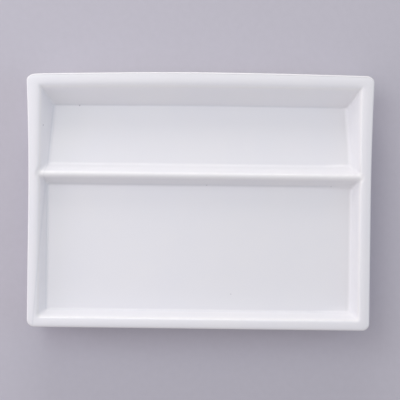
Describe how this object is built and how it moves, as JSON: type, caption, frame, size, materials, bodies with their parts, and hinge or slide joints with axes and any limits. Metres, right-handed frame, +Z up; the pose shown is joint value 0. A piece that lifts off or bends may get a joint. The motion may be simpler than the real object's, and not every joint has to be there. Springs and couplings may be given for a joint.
{
  "type": "wet palette tray",
  "caption": "Rectangular glazed porcelain palette tray with a large flat well and a narrow slanted well, parted by a rounded divider, on stick-on bumpers.",
  "frame": {"origin": "on the table, under the middle of the tray, level with the undersides of the bumpers", "axes": "+X to the right along the long side, +Y to the far side with the slanted well, +Z up out of the wells"},
  "size_m": [0.203, 0.152, 0.0235],
  "materials": {
    "porcelain": "matte",
    "glaze": "gloss",
    "bumper_rubber": "satin",
    "adhesive": "satin"
  },
  "bodies": {
    "root": {"porcelain_body": "porcelain", "glaze_coat": "glaze", "underside_glaze": "glaze", "bumper_near_left": "bumper_rubber", "adhesive_near_left": "adhesive", "bumper_near_right": "bumper_rubber", "adhesive_near_right": "adhesive", "bumper_far_left": "bumper_rubber", "adhesive_far_left": "adhesive", "bumper_far_right": "bumper_rubber", "adhesive_far_right": "adhesive"}
  },
  "joints": []
}
